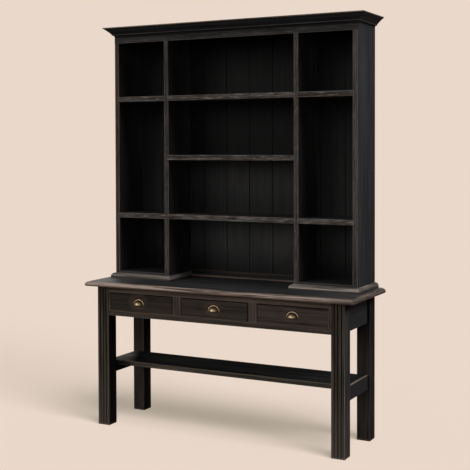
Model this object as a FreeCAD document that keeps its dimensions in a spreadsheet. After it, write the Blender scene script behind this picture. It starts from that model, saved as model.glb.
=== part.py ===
import FreeCAD, Part
import math
import os
from types import SimpleNamespace

import Sketcher

# A dresser with a hutch: a side table with three drawers on four legs, and an open
# shelved hutch that stands on the table's back half.  Millimetres.  The origin is on the
# floor under the middle of the table top: +X to the right, +Y to the back, +Z up.

Vector = FreeCAD.Vector
doc = FreeCAD.newDocument("DresserWithHutch")

SIZES = (
    # the table top
    ("table_height", 794, "floor to the upper face of the table top"),
    ("top_length", 1572, "table top, left to right"),
    ("top_depth", 475, "table top, front to back"),
    ("top_thick", 27, "table top"),
    ("top_end_overhang", 58, "table top, beyond the outer faces of the legs"),
    ("top_front_overhang", 40, "table top, in front of the front legs"),
    ("top_back_overhang", 5, "table top, behind the back legs"),
    ("edge_run", 20, "moulded edge, how far it reaches in from the nose"),
    ("edge_quirk", 2.5, "moulded edge, small step below the flat top"),
    ("edge_nose", 17, "moulded edge, flat top down to the nose"),
    ("edge_under", 9, "moulded edge, round below the nose"),
    # the legs
    ("leg_width", 73, "a leg, left to right"),
    ("leg_depth", 73, "a leg, front to back"),
    ("leg_bevel", 2, "bevel on the arrises of a leg"),
    ("foot_bevel", 1.5, "bevel round the foot of a leg"),
    ("flute_radius", 4.5, "half the width of a flute in a front leg"),
    ("flute_depth", 3.5, "how deep a flute is cut"),
    # the rails and aprons
    ("frame_recess", 3, "front frame and back apron, behind the faces of the legs"),
    ("rail_thick", 22, "front frame, front to back"),
    ("top_rail", 30, "front frame above the drawers"),
    ("bottom_rail", 29, "front frame below the drawers"),
    ("drawer_opening", 99, "height of a drawer opening"),
    ("end_stile", 9, "front frame beside a leg"),
    ("stile_width", 50, "front frame between two drawers"),
    ("apron_thick", 20, "side and back aprons"),
    ("side_apron_height", 152, "side aprons"),
    ("side_apron_recess", 16, "side aprons, in from the outer faces of the legs"),
    ("tenon_length", 30, "tenons into the legs"),
    ("tenon_thick", 9, "tenons into the legs"),
    ("tenon_shoulder", 6, "above and below a tenon"),
    ("stub_tenon", 10, "tenons of the stiles into the rails"),
    ("stub_shoulder", 2, "beside the tenons of the stiles"),
    # the stretchers and the lower shelf
    ("stretcher_top", 344, "floor to the top of a stretcher"),
    ("stretcher_height", 73, "a stretcher"),
    ("stretcher_thick", 20, "a stretcher"),
    ("stretcher_recess", 12, "a stretcher, in from the outer faces of the legs"),
    ("low_shelf_thick", 25, "lower shelf"),
    ("low_shelf_setback", 95, "lower shelf, behind the faces of the front legs"),
    ("low_shelf_back_gap", 66.5, "lower shelf, in front of the backs of the back legs"),
    # the drawers
    ("drawer_front_thick", 22, "drawer front"),
    ("drawer_side_thick", 13, "drawer sides"),
    ("drawer_back_thick", 12, "drawer back"),
    ("drawer_bottom_thick", 6, "drawer bottom"),
    ("drawer_bottom_rise", 8, "lower edge of a drawer side up to the bottom"),
    ("drawer_groove", 6, "groove that holds the drawer bottom, and housing of its back"),
    ("drawer_tail_end", 10, "drawer sides, past the drawer back"),
    ("drawer_ease", 1.5, "bevel round the face of a drawer front"),
    ("side_gap", 2.5, "drawer to its opening, left and right"),
    ("upper_gap", 3, "drawer to the top of its opening"),
    ("run_gap", 0.3, "drawer above its runners, and in front of its stops"),
    ("runner_rise", 1.2, "runners above the bottom rail"),
    ("runner_thick", 20, "runners under the drawers"),
    ("guide_height", 25, "guides beside the drawers"),
    ("stop_length", 18, "stops behind the drawers, front to back"),
    ("stop_width", 40, "stops behind the drawers"),
    ("stop_offset", 110, "stops, from the middle of their drawer"),
    ("dovetail_length", 15, "dovetails of the drawer sides into the front"),
    ("dovetail_width", 15, "dovetails at their root"),
    ("dovetail_splay", 2.5, "dovetails, how much wider each edge grows"),
    # the cup pulls
    ("pull_half_width", 34, "pull, half its width"),
    ("pull_height", 31, "pull"),
    ("pull_drop", 9, "middle of the drawer opening down to the foot of the pull"),
    ("left_pull_shift", 14, "pull of the left drawer, left of the middle of its drawer"),
    ("flange_thick", 2, "plate of the pull"),
    ("flange_side", 9, "plate of the pull, beside the cup"),
    ("flange_top", 9, "plate of the pull, above the cup"),
    ("cup_wall", 1.8, "wall of the cup"),
    ("pull_screw_radius", 1.5, "shank of a pull screw"),
    ("pull_screw_length", 14, "shank of a pull screw"),
    ("pull_screw_head", 3.1, "radius of the round head of a pull screw"),
    # the hutch
    ("hutch_inset", 60, "side panels, in from the ends of the table top"),
    ("hutch_depth", 257, "over the side panels"),
    ("hutch_height", 1406, "table top to the top of the cornice"),
    ("panel_thick", 26.5, "side panels and dividers"),
    ("centre_bay", 753, "clear width between the dividers"),
    ("shelf_thick", 28, "hutch shelves and floors"),
    ("shelf_ease", 2.5, "round on the front arrises of shelves and panels"),
    ("lower_rise", 368, "table top to the top of the lower shelves"),
    ("middle_rise", 693, "table top to the top of the middle shelf"),
    ("upper_rise", 1018.5, "table top to the top of the upper shelves"),
    ("floor_rise", 39, "table top to the floors of the side bays"),
    ("housing", 8, "how deep shelves are let into the panels"),
    ("roof_thick", 18, "top board of the hutch"),
    ("roof_recess", 12, "top board below the top of the cornice"),
    ("frieze_shown", 37, "frieze below the cornice"),
    ("frieze_thick", 20, "frieze"),
    ("back_thick", 12, "boards of the back"),
    ("back_rebate", 10, "how far the back is let into the side panels"),
    ("tongue", 7, "tongues of the back boards"),
    ("tongue_thick", 4, "tongues of the back boards"),
    ("board_bevel", 3, "bevels along the joints of the back boards"),
    ("back_rail_thick", 18, "rail below the back boards"),
    # the mouldings
    ("cornice_height", 50, "cornice"),
    ("cornice_out", 49, "cornice, out from the frieze"),
    ("cornice_fillet", 4.5, "flat band at the top of the cornice"),
    ("cornice_lip", 2, "step below the flat band of the cornice"),
    ("cornice_cove", 8, "hollow below the bead of the cornice"),
    ("cornice_bead", 4.5, "bead of the cornice"),
    ("cornice_quirk", 1.5, "step between the bead and the sloping face of the cornice"),
    ("base_out", 21, "base moulding, out from the panels"),
    ("base_height", 27, "base moulding"),
    ("base_square", 7.5, "base moulding, flat below its round"),
    ("base_step", 3, "base moulding, flat above its round"),
    # the screws that hold the hutch on the table
    ("screw_radius", 2.5, "shank of a fixing screw"),
    ("screw_head", 4.8, "radius of the sunk head of a fixing screw"),
    ("screw_bite", 35, "length of a fixing screw above the table top"),
    ("screw_inset", 50, "fixing screws, in from the front and back of the hutch"),
)

SIDES = (("left", -1), ("right", 1))
DRAWERS = (("left", -1), ("middle", 0), ("right", 1))
FLUTES = 3
DOVETAILS = 3
BACK_BOARDS = 10
QUARTER_ROUND = math.tan(math.pi / 8) / 2  # the rise of a quarter circle's arc over its chord
COVE = 0.15  # the rise of the hollow below the cornice's bead over its chord
SHALLOW_COVE = 0.03  # the rise of the cornice's hollow face over its chord
ARCH_SHOULDER = 0.72  # where a pull's side curves meet its crown, as a share of its arch
ARCH_SIDE_RISE = 0.115  # the rise of a pull's side curves over their chords
ARCH_CROWN_RISE = 0.165  # the rise of a pull's crown over its chord


class Size:
    """A length with its number and the formula that the document keeps for it."""

    def __init__(self, formula, number):
        self.formula = formula
        self.number = number

    def __add__(self, other):
        return Size(f"({self.formula} + {formula(other)})", self.number + number(other))

    def __sub__(self, other):
        return Size(f"({self.formula} - {formula(other)})", self.number - number(other))

    def __rsub__(self, other):
        return Size(f"({formula(other)} - {self.formula})", number(other) - self.number)

    def __mul__(self, other):
        return Size(f"({self.formula} * {formula(other)})", self.number * number(other))

    def __truediv__(self, other):
        return Size(f"({self.formula} / {formula(other)})", self.number / number(other))

    def __neg__(self):
        return self * -1

    def root(self):
        return Size(f"sqrt({self.formula})", self.number ** 0.5)

    __radd__ = __add__
    __rmul__ = __mul__


def formula(value):
    return value.formula if isinstance(value, Size) else repr(value)


def number(value):
    return value.number if isinstance(value, Size) else value


def fill_sheet(rows):
    """Write the driving sizes into the spreadsheet, and give them back by name."""
    sheet = doc.addObject("Spreadsheet::Sheet", "Sizes")
    for line, (name, value, meaning) in enumerate(rows, start=1):
        sheet.set(f"A{line}", name)
        sheet.set(f"B{line}", str(value))
        sheet.setAlias(f"B{line}", name)
        sheet.set(f"C{line}", meaning)
    doc.recompute()
    return SimpleNamespace(**{name: Size(f"Sizes.{name}", value) for name, value, _ in rows})


S = fill_sheet(SIZES)


# ---------------------------------------------------------------- drawing and joining

def bind(thing, target, value):
    """Tie a property or a constraint to the formula of a size."""
    thing.setExpression(target, formula(value))


def draw_loop(sketch, corners):
    """Draw a closed outline through corners (u, v) or (u, v, bulge).

    A bulge makes the stretch to the next corner an arc.  It is the arc's rise over its
    chord, to the right of the way the outline runs where it is positive.
    """
    stretches = []
    for corner, following in zip(corners, corners[1:] + corners[:1]):
        start = Vector(number(corner[0]), number(corner[1]), 0)
        end = Vector(number(following[0]), number(following[1]), 0)
        bulge = corner[2] if len(corner) > 2 else 0
        first, last = 1, 2
        if bulge:
            chord = end - start
            crown = (start + end) * 0.5 + Vector(chord.y, -chord.x, 0) * bulge
            edge = sketch.addGeometry(Part.Arc(start, crown, end), False)
            if (sketch.getPoint(edge, 1) - start).Length > (sketch.getPoint(edge, 2) - start).Length:
                first, last = 2, 1
        else:
            edge = sketch.addGeometry(Part.LineSegment(start, end), False)
        stretches.append((edge, first, last))
    for index, (edge, first, last) in enumerate(stretches):
        next_edge, next_first, _ = stretches[(index + 1) % len(stretches)]
        sketch.addConstraint(Sketcher.Constraint("Coincident", edge, last, next_edge, next_first))
    for corner, following, (edge, first, _) in zip(corners, corners[1:] + corners[:1], stretches):
        for direction, place in (("DistanceX", corner[0]), ("DistanceY", corner[1])):
            rule = Sketcher.Constraint(direction, -1, 1, edge, first, number(place))
            bind(sketch, f"Constraints[{sketch.addConstraint(rule)}]", place)
        if len(corner) > 2 and corner[2]:
            across = following[0] - corner[0]
            up = following[1] - corner[1]
            chord = (across * across + up * up).root()
            radius = chord * (1 / (8 * abs(corner[2])) + abs(corner[2]) / 2)
            rule = Sketcher.Constraint("Radius", edge, number(radius))
            bind(sketch, f"Constraints[{sketch.addConstraint(rule)}]", radius)


def origin_feature(body, role):
    return next(item for item in body.Origin.OriginFeatures if item.Role == role)


def sketch_on(body, plane, *loops):
    """A sketch of closed outlines on one of the body's own planes."""
    sketch = body.newObject("Sketcher::SketchObject", f"{body.Name}_sketch")
    sketch.AttachmentSupport = (origin_feature(body, f"{plane}_Plane"), "")
    sketch.MapMode = "FlatFace"
    for corners in loops:
        draw_loop(sketch, corners)
    return sketch


def extrusion(label, plane, corners, low, high, *holes):
    """A body: an outline on a plane, drawn out from low to high along the plane's normal."""
    body = doc.addObject("PartDesign::Body", label)
    sketch = sketch_on(body, plane, corners, *holes)
    pad = body.newObject("PartDesign::Pad", f"{label}_pad")
    pad.Profile = sketch
    bind(pad, "Length", high - low)
    axis, start = {"YZ": ("x", low), "XZ": ("y", high), "XY": ("z", low)}[plane]
    bind(body, f"Placement.Base.{axis}", start)
    return body


def block(label, x_span, y_span, z_span):
    """A plain squared piece of wood."""
    box = doc.addObject("Part::Box", label)
    for side, axis, (low, high) in zip(("Length", "Width", "Height"), "xyz", (x_span, y_span, z_span)):
        bind(box, side, high - low)
        bind(box, f"Placement.Base.{axis}", low)
    return box


def fused(label, pieces):
    union = doc.addObject("Part::MultiFuse", label)
    union.Shapes = pieces
    return union


def group(label, pieces):
    """Separate pieces of one kind, kept together."""
    compound = doc.addObject("Part::Compound", label)
    compound.Links = pieces
    return compound


def cut(label, base, tools):
    """The base with the room for its neighbours taken out of it."""
    result = doc.addObject("Part::Cut", label)
    result.Base = base
    result.Tool = tools[0] if len(tools) == 1 else group(f"{label}_tools", tools)
    return result


def face_towards(shape, direction):
    """The name of the face that lies furthest along a direction."""
    distances = [face.CenterOfMass.dot(direction) for face in shape.Faces]
    return f"Face{distances.index(max(distances)) + 1}"


def bevel_face(body, direction, size):
    """Bevel all the arrises round the body's outermost face in a direction."""
    doc.recompute()
    base = body.Tip
    bevel = body.newObject("PartDesign::Chamfer", f"{body.Name}_bevel")
    bevel.Base = (base, [face_towards(base.Shape, direction)])
    bind(bevel, "Size", size)


def span(side, inner, outer):
    """Two distances from the middle as low and high X, on the left or the right."""
    return (inner, outer) if side > 0 else (-outer, -inner)


def about(middle, half):
    return (middle - half, middle + half)


def rounded_rectangle(u_span, v_span, radius):
    """A rectangle with all four corners rounded."""
    (left, right), (low, high) = u_span, v_span
    return [
        (left + radius, low), (right - radius, low, QUARTER_ROUND),
        (right, low + radius), (right, high - radius, QUARTER_ROUND),
        (right - radius, high), (left + radius, high, QUARTER_ROUND),
        (left, high - radius), (left, low + radius, QUARTER_ROUND),
    ]


def bevelled_rectangle(u_span, v_span, bevel):
    """A rectangle with all four corners cut off."""
    (left, right), (low, high) = u_span, v_span
    return [
        (left + bevel, low), (right - bevel, low), (right, low + bevel), (right, high - bevel),
        (right - bevel, high), (left + bevel, high), (left, high - bevel), (left, low + bevel),
    ]


def front_eased(front, back, v_span, radius):
    """A board's section: its front edge at u = front has both arrises rounded."""
    low, high = v_span
    return [
        (front + radius, low), (back, low), (back, high),
        (front + radius, high, QUARTER_ROUND), (front, high - radius),
        (front, low + radius, QUARTER_ROUND),
    ]


def reversed_corners(corners):
    """The same open line run backwards, with its arcs kept."""
    bulges = [-corner[2] for corner in corners[:-1]][::-1] + [0]
    return [(u, v, bulge) for (u, v, _), bulge in zip(corners[::-1], bulges)]


def arch_corners(middle, foot, half, high):
    """A flattened arch from its left foot over to its right foot."""
    shoulder_x = half * ARCH_SHOULDER
    shoulder_z = foot + high * ARCH_SHOULDER
    return [
        (middle - half, foot, -ARCH_SIDE_RISE),
        (middle - shoulder_x, shoulder_z, -ARCH_CROWN_RISE),
        (middle + shoulder_x, shoulder_z, -ARCH_SIDE_RISE),
        (middle + half, foot, 0),
    ]


def against_face(profile, face, side, low):
    """A moulding's profile (out, up, bulge) set on a face that looks to one side."""
    return [(face + side * out, low + up, side * bulge) for out, up, bulge in profile]


# ---------------------------------------------------------------- the main lines

top_x = S.top_length / 2
top_y = S.top_depth / 2
top_under = S.table_height - S.top_thick

leg_outer = top_x - S.top_end_overhang
leg_inner = leg_outer - S.leg_width
leg_front = S.top_front_overhang - top_y
leg_back = top_y - S.top_back_overhang
front_leg_back = leg_front + S.leg_depth
back_leg_front = leg_back - S.leg_depth

frame_front = leg_front + S.frame_recess
frame_back = frame_front + S.rail_thick
opening_high = top_under - S.top_rail
opening_low = opening_high - S.drawer_opening
frame_low = opening_low - S.bottom_rail
opening_edge = leg_inner - S.end_stile
opening_width = (opening_edge * 2 - S.stile_width * (len(DRAWERS) - 1)) / len(DRAWERS)
opening_pitch = opening_width + S.stile_width
middle_stile = (opening_width / 2, opening_width / 2 + S.stile_width)

apron_back_inner = leg_back - S.frame_recess - S.apron_thick
apron_side_inner = leg_outer - S.side_apron_recess - S.apron_thick
stretcher_inner = leg_outer - S.stretcher_recess - S.stretcher_thick

hutch_back = top_y
hutch_front = hutch_back - S.hutch_depth
hutch_outer = top_x - S.hutch_inset
hutch_inner = hutch_outer - S.panel_thick
divider_inner = S.centre_bay / 2
divider_outer = divider_inner + S.panel_thick
back_face = hutch_back - S.back_thick
floor_high = S.table_height + S.floor_rise
hutch_high = S.table_height + S.hutch_height
cornice_low = hutch_high - S.cornice_height
frieze_low = cornice_low - S.frieze_shown
roof_high = hutch_high - S.roof_recess
roof_low = roof_high - S.roof_thick
rail_face = hutch_back - S.back_rail_thick

subparts = []


def keep(*pieces):
    """List finished sub-parts for checking and writing."""
    subparts.extend(pieces)


# ---------------------------------------------------------------- rails, aprons and stretchers

def tenoned_rail(label, along, shoulders, faces, z_span):
    """A squared rail with a tenon at each end, in the middle of its thickness.

    along is "x" or "y".  shoulders are where its ends meet the legs, and faces are its
    front and back.
    """
    cheeks = about((faces[0] + faces[1]) / 2, S.tenon_thick / 2)
    tips = (shoulders[0] - S.tenon_length, shoulders[1] + S.tenon_length)
    tenon_z = (z_span[0] + S.tenon_shoulder, z_span[1] - S.tenon_shoulder)
    if along == "x":
        board = block(f"{label}_board", shoulders, faces, z_span)
        tenons = block(f"{label}_tenons", tips, cheeks, tenon_z)
    else:
        board = block(f"{label}_board", faces, shoulders, z_span)
        tenons = block(f"{label}_tenons", cheeks, tips, tenon_z)
    return fused(label, [board, tenons])


leg_gap_x = (-leg_inner, leg_inner)
leg_gap_y = (front_leg_back, back_leg_front)
frame_y = (frame_front, frame_back)

rail_upper_blank = tenoned_rail("front_rail_upper_blank", "x", leg_gap_x, frame_y, (opening_high, top_under))
rail_lower_blank = tenoned_rail("front_rail_lower_blank", "x", leg_gap_x, frame_y, (frame_low, opening_low))
apron_back = tenoned_rail("apron_back", "x", leg_gap_x, (apron_back_inner, leg_back - S.frame_recess),
                          (frame_low, top_under))
keep(apron_back)


def stile(label, x_span):
    """An upright of the front frame, with stub tenons up and down."""
    board = block(f"{label}_board", x_span, frame_y, (opening_low, opening_high))
    cheek = about((frame_front + frame_back) / 2, S.tenon_thick / 2)
    tenon_x = (x_span[0] + S.stub_shoulder, x_span[1] - S.stub_shoulder)
    tenon_z = (opening_low - S.stub_tenon, opening_high + S.stub_tenon)
    return fused(label, [board, block(f"{label}_tenons", tenon_x, cheek, tenon_z)])


stiles = []
for hand, side in SIDES:
    stiles.append(stile(f"end_stile_{hand}", span(side, opening_edge, leg_inner)))
    stiles.append(stile(f"middle_stile_{hand}", span(side, *middle_stile)))
keep(group("front_stiles", stiles))
keep(cut("front_rail_upper", rail_upper_blank, stiles))
keep(cut("front_rail_lower", rail_lower_blank, stiles))

side_aprons = {}
stretcher_blanks = {}
for hand, side in SIDES:
    apron_faces = span(side, apron_side_inner, leg_outer - S.side_apron_recess)
    side_aprons[hand] = tenoned_rail(f"apron_{hand}", "y", leg_gap_y, apron_faces,
                                     (top_under - S.side_apron_height, top_under))
    stretcher_faces = span(side, stretcher_inner, leg_outer - S.stretcher_recess)
    stretcher_blanks[hand] = tenoned_rail(f"stretcher_{hand}_blank", "y", leg_gap_y, stretcher_faces,
                                          (S.stretcher_top - S.stretcher_height, S.stretcher_top))
    keep(side_aprons[hand])

low_shelf_end = stretcher_inner + S.housing
low_shelf_z = (S.stretcher_top - S.low_shelf_thick, S.stretcher_top)
lower_shelf_board = extrusion(
    "lower_shelf_board", "YZ",
    rounded_rectangle((leg_front + S.low_shelf_setback, leg_back - S.low_shelf_back_gap),
                      low_shelf_z, S.shelf_ease),
    -low_shelf_end, low_shelf_end)
leg_notches = [block(f"leg_notch_{hand}", span(side, leg_inner, leg_outer), (back_leg_front, leg_back),
                     low_shelf_z) for hand, side in SIDES]
lower_shelf = cut("lower_shelf", lower_shelf_board, leg_notches)
keep(lower_shelf)
for hand, side in SIDES:
    keep(cut(f"stretcher_{hand}", stretcher_blanks[hand], [lower_shelf]))


# ---------------------------------------------------------------- legs

def leg_blank(label, side, y_span):
    """A leg: a post with bevelled arrises and a bevelled foot."""
    section = bevelled_rectangle(span(side, leg_inner, leg_outer), y_span, S.leg_bevel)
    post = extrusion(label, "XY", section, 0, top_under)
    bevel_face(post, Vector(0, 0, -1), S.foot_bevel)
    return post


def flute(post, side):
    """Sink evenly spaced flutes into a front leg's face, from the foot to the top."""
    pitch = S.leg_width / (FLUTES + 1)
    first_x = (leg_inner if side > 0 else -leg_outer) + pitch
    depth_centre = leg_front - S.flute_radius + S.flute_depth
    doc.recompute()
    sketch = post.newObject("Sketcher::SketchObject", f"{post.Name}_flute_sketch")
    sketch.AttachmentSupport = (origin_feature(post, "XY_Plane"), "")
    sketch.MapMode = "FlatFace"
    centre = Vector(number(first_x), number(depth_centre), 0)
    ring = sketch.addGeometry(Part.Circle(centre, Vector(0, 0, 1), number(S.flute_radius)), False)
    for direction, place in (("DistanceX", first_x), ("DistanceY", depth_centre)):
        rule = Sketcher.Constraint(direction, -1, 1, ring, 3, number(place))
        bind(sketch, f"Constraints[{sketch.addConstraint(rule)}]", place)
    rule = Sketcher.Constraint("Radius", ring, number(S.flute_radius))
    bind(sketch, f"Constraints[{sketch.addConstraint(rule)}]", S.flute_radius)
    pocket = post.newObject("PartDesign::Pocket", f"{post.Name}_flute")
    pocket.Profile = sketch
    pocket.Reversed = True
    bind(pocket, "Length", top_under)
    pattern = post.newObject("PartDesign::LinearPattern", f"{post.Name}_flutes")
    pattern.Originals = [pocket]
    pattern.Direction = (origin_feature(post, "X_Axis"), [""])
    pattern.Occurrences = FLUTES
    bind(pattern, "Length", pitch * (FLUTES - 1))
    post.Tip = pattern


for hand, side in SIDES:
    front_post = leg_blank(f"leg_front_{hand}_post", side, (leg_front, front_leg_back))
    flute(front_post, side)
    back_post = leg_blank(f"leg_back_{hand}_post", side, (back_leg_front, leg_back))
    into_both = [side_aprons[hand], stretcher_blanks[hand]]
    keep(cut(f"leg_front_{hand}", front_post, into_both + [rail_upper_blank, rail_lower_blank]))
    keep(cut(f"leg_back_{hand}", back_post, into_both + [apron_back]))


# ---------------------------------------------------------------- table top

def moulded_edge(nose, side):
    """The moulded edge of the table top from its lower arris up, facing one side."""
    low = top_under
    high = S.table_height
    return [
        (nose - side * S.edge_under, low, side * QUARTER_ROUND),
        (nose, low + S.edge_under, 0),
        (nose, high - S.edge_nose, side * QUARTER_ROUND),
        (nose - side * S.edge_run, high - S.edge_quirk, 0),
        (nose - side * S.edge_run, high, 0),
    ]


end_section = moulded_edge(top_x, 1) + reversed_corners(moulded_edge(-top_x, -1))
side_section = [(top_y, top_under), (top_y, S.table_height)] + reversed_corners(moulded_edge(-top_y, -1))
lengthwise = extrusion("table_top_lengthwise", "YZ", side_section, -top_x, top_x)
crosswise = extrusion("table_top_crosswise", "XZ", end_section, -top_y, top_y)
table_top_blank = doc.addObject("Part::Common", "table_top_blank")
table_top_blank.Base = lengthwise
table_top_blank.Tool = crosswise


# ---------------------------------------------------------------- drawer runners, guides and stops

runner_high = opening_low + S.runner_rise
runner_y = (frame_back, apron_back_inner)
stop_front = apron_back_inner - S.stop_length
under_side = S.side_gap + S.drawer_side_thick
runners = []
kickers = []
for hand, side in SIDES:
    places = {
        "end": ((opening_edge - under_side, leg_inner), (opening_edge, leg_inner)),
        "middle": ((middle_stile[0] - under_side, middle_stile[1] + under_side), middle_stile),
    }
    for place, (wide, narrow) in places.items():
        runners.append(block(f"runner_{place}_{hand}", span(side, *wide), runner_y,
                             (runner_high - S.runner_thick, runner_high)))
        runners.append(block(f"guide_{place}_{hand}", span(side, *narrow), runner_y,
                             (runner_high, runner_high + S.guide_height)))
        kickers.append(block(f"kicker_{place}_{hand}", span(side, *wide), runner_y,
                             (opening_high, top_under)))
keep(group("drawer_runners", runners), group("drawer_kickers", kickers))


# ---------------------------------------------------------------- drawers

def dovetailed_side(label, x_span, y_end, z_span):
    """A drawer side whose front end is cut into dovetails."""
    low, high = z_span
    root_y = frame_front + S.drawer_front_thick
    tip_y = root_y - S.dovetail_length
    pitch = (high - low) / DOVETAILS
    corners = [(y_end, high), (y_end, low), (root_y, low)]
    for tail in range(DOVETAILS):
        middle = low + pitch * (tail + 0.5)
        root = S.dovetail_width / 2
        tip = root + S.dovetail_splay
        corners += [(root_y, middle - root), (tip_y, middle - tip),
                    (tip_y, middle + tip), (root_y, middle + root)]
    corners.append((root_y, high))
    return extrusion(label, "YZ", corners, *x_span)


def pull_plate(label, middle, foot):
    """The plate of a cup pull: a flat arch that ends inside the wall of the cup."""
    inner_half = S.pull_half_width - S.flange_side - S.cup_wall / 2
    inner_high = S.pull_height - S.flange_top - S.cup_wall / 2
    corners = (arch_corners(middle, foot, S.pull_half_width, S.pull_height)
               + reversed_corners(arch_corners(middle, foot, inner_half, inner_high)))
    return extrusion(label, "XZ", corners, frame_front - S.flange_thick, frame_front)


def pull_cup(label, middle, foot):
    """The cup: an arched wall turned a quarter round its lower edge, open below."""
    half = S.pull_half_width - S.flange_side
    high = S.pull_height - S.flange_top
    outer = arch_corners(0, 0, half, high)
    inner = arch_corners(0, 0, half - S.cup_wall, high - S.cup_wall)
    cup = doc.addObject("PartDesign::Body", label)
    sketch = sketch_on(cup, "XZ", outer + reversed_corners(inner))
    turn = cup.newObject("PartDesign::Revolution", f"{label}_turn")
    turn.Profile = sketch
    turn.ReferenceAxis = (sketch, ["H_Axis"])
    turn.Angle = 90
    bind(cup, "Placement.Base.x", middle)
    bind(cup, "Placement.Base.y", frame_front)
    bind(cup, "Placement.Base.z", foot)
    return cup


def pull_screw(label, x, z):
    """A round-headed screw through the pull's plate into the drawer front."""
    shank = doc.addObject("Part::Cylinder", f"{label}_shank")
    bind(shank, "Radius", S.pull_screw_radius)
    bind(shank, "Height", S.pull_screw_length)
    shank.Placement.Rotation = FreeCAD.Rotation(Vector(1, 0, 0), -90)
    head = doc.addObject("Part::Sphere", f"{label}_head")
    head.Angle1 = 0
    bind(head, "Radius", S.pull_screw_head)
    head.Placement.Rotation = FreeCAD.Rotation(Vector(1, 0, 0), 90)
    for piece in (shank, head):
        bind(piece, "Placement.Base.x", x)
        bind(piece, "Placement.Base.y", frame_front - S.flange_thick)
        bind(piece, "Placement.Base.z", z)
    return fused(label, [shank, head])


def drawer(hand, middle, pull_middle):
    """One drawer, closed and centred on X = middle, with its cup pull at X = pull_middle."""
    name = f"drawer_{hand}"
    half = opening_width / 2 - S.side_gap
    low = runner_high + S.run_gap
    high = opening_high - S.upper_gap
    y_end = stop_front - S.run_gap
    root_y = frame_front + S.drawer_front_thick
    inner = half - S.drawer_side_thick
    bottom_low = low + S.drawer_bottom_rise
    bottom_high = bottom_low + S.drawer_bottom_thick
    back_y = (y_end - S.drawer_tail_end - S.drawer_back_thick, y_end - S.drawer_tail_end)

    bottom = block(f"{name}_bottom", about(middle, inner + S.drawer_groove),
                   (root_y - S.drawer_groove, back_y[1]), (bottom_low, bottom_high))
    back = block(f"{name}_back", about(middle, inner + S.drawer_groove), back_y, (bottom_high, high))
    sides = []
    tails = []
    for side_hand, side in SIDES:
        x_span = [middle + x for x in span(side, inner, half)]
        blank = dovetailed_side(f"{name}_side_{side_hand}_blank", x_span, y_end, (low, high))
        tails.append(blank)
        sides.append(cut(f"{name}_side_{side_hand}", blank, [bottom, back]))

    foot = (opening_low + opening_high) / 2 - S.pull_drop
    plate = pull_plate(f"{name}_pull_plate", pull_middle, foot)
    cup = pull_cup(f"{name}_pull_cup", pull_middle, foot)
    screw_x = S.pull_half_width - S.flange_side / 2
    screw_z = foot + S.flange_side / 2
    screws = [pull_screw(f"{name}_pull_screw_{side_hand}", pull_middle + side * screw_x, screw_z)
              for side_hand, side in SIDES]

    outline = [(middle - half, low), (middle + half, low), (middle + half, high), (middle - half, high)]
    board = extrusion(f"{name}_front_board", "XZ", outline, frame_front, root_y)
    bevel_face(board, Vector(0, -1, 0), S.drawer_ease)
    keep(cut(f"{name}_front", board, tails + [bottom] + screws))
    keep(group(f"{name}_sides", sides), back, bottom)
    keep(cut(f"{name}_pull", fused(f"{name}_pull_casting", [plate, cup]), screws))
    keep(group(f"{name}_pull_screws", screws))


stops = []
for hand, place in DRAWERS:
    drawer_middle = opening_pitch * place
    pull_shift = S.left_pull_shift if hand == "left" else 0
    drawer(hand, drawer_middle, drawer_middle - pull_shift)
    for end, side in SIDES:
        stop_middle = drawer_middle + side * S.stop_offset
        stops.append(block(f"stop_{hand}_{end}", about(stop_middle, S.stop_width / 2),
                           (stop_front, apron_back_inner),
                           (runner_high, runner_high + S.stop_width)))
keep(group("drawer_stops", stops))


# ---------------------------------------------------------------- hutch boards

def hutch_shelf(label, x_span, top, back=back_face):
    """A shelf with its ends let into the panels beside it and its front arrises eased."""
    section = front_eased(hutch_front, back, (top - S.shelf_thick, top), S.shelf_ease)
    return extrusion(label, "YZ", section, x_span[0] - S.housing, x_span[1] + S.housing)


shelf_tops = {
    "lower": S.table_height + S.lower_rise,
    "middle": S.table_height + S.middle_rise,
    "upper": S.table_height + S.upper_rise,
}
centre_bay = (-divider_inner, divider_inner)
centre_shelves = [hutch_shelf(f"shelf_centre_{level}", centre_bay, top) for level, top in shelf_tops.items()]
side_shelves = {}
for hand, side in SIDES:
    bay = span(side, divider_outer, hutch_inner)
    side_shelves[hand] = [hutch_shelf(f"shelf_{hand}_{level}", bay, shelf_tops[level])
                          for level in ("lower", "upper")]
    side_shelves[hand].append(hutch_shelf(f"floor_{hand}", bay, floor_high, rail_face))
keep(*centre_shelves, *side_shelves["left"], *side_shelves["right"])

back_half = hutch_inner + S.back_rebate
back_rail = block("back_rail", (-back_half, back_half), (rail_face, hutch_back), (S.table_height, floor_high))
roof = block("hutch_top", (-hutch_outer, hutch_outer), (hutch_front + S.frieze_thick, hutch_back),
             (roof_low, roof_high))
frieze = block("frieze", (-hutch_outer, hutch_outer), (hutch_front, hutch_front + S.frieze_thick),
               (frieze_low, roof_high))
keep(back_rail, roof, frieze)


def back_board(index):
    """One upright board of the back: tongued on its right, grooved on its left."""
    pitch = back_half * 2 / BACK_BOARDS
    left = -back_half + pitch * index
    right = left + pitch
    front = back_face
    back = hutch_back
    middle = (front + back) / 2
    tongue_low = middle - S.tongue_thick / 2
    tongue_high = middle + S.tongue_thick / 2
    corners = [(left, back)]
    if index > 0:
        corners += [(left, tongue_high), (left + S.tongue, tongue_high), (left + S.tongue, tongue_low),
                    (left, tongue_low), (left, front + S.board_bevel), (left + S.board_bevel, front)]
    else:
        corners += [(left, front)]
    if index < BACK_BOARDS - 1:
        corners += [(right - S.board_bevel, front), (right, front + S.board_bevel), (right, tongue_low),
                    (right + S.tongue, tongue_low), (right + S.tongue, tongue_high), (right, tongue_high)]
    else:
        corners += [(right, front)]
    corners += [(right, back)]
    return extrusion(f"back_board_{index + 1}", "XY", corners, floor_high, roof_low)


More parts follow.
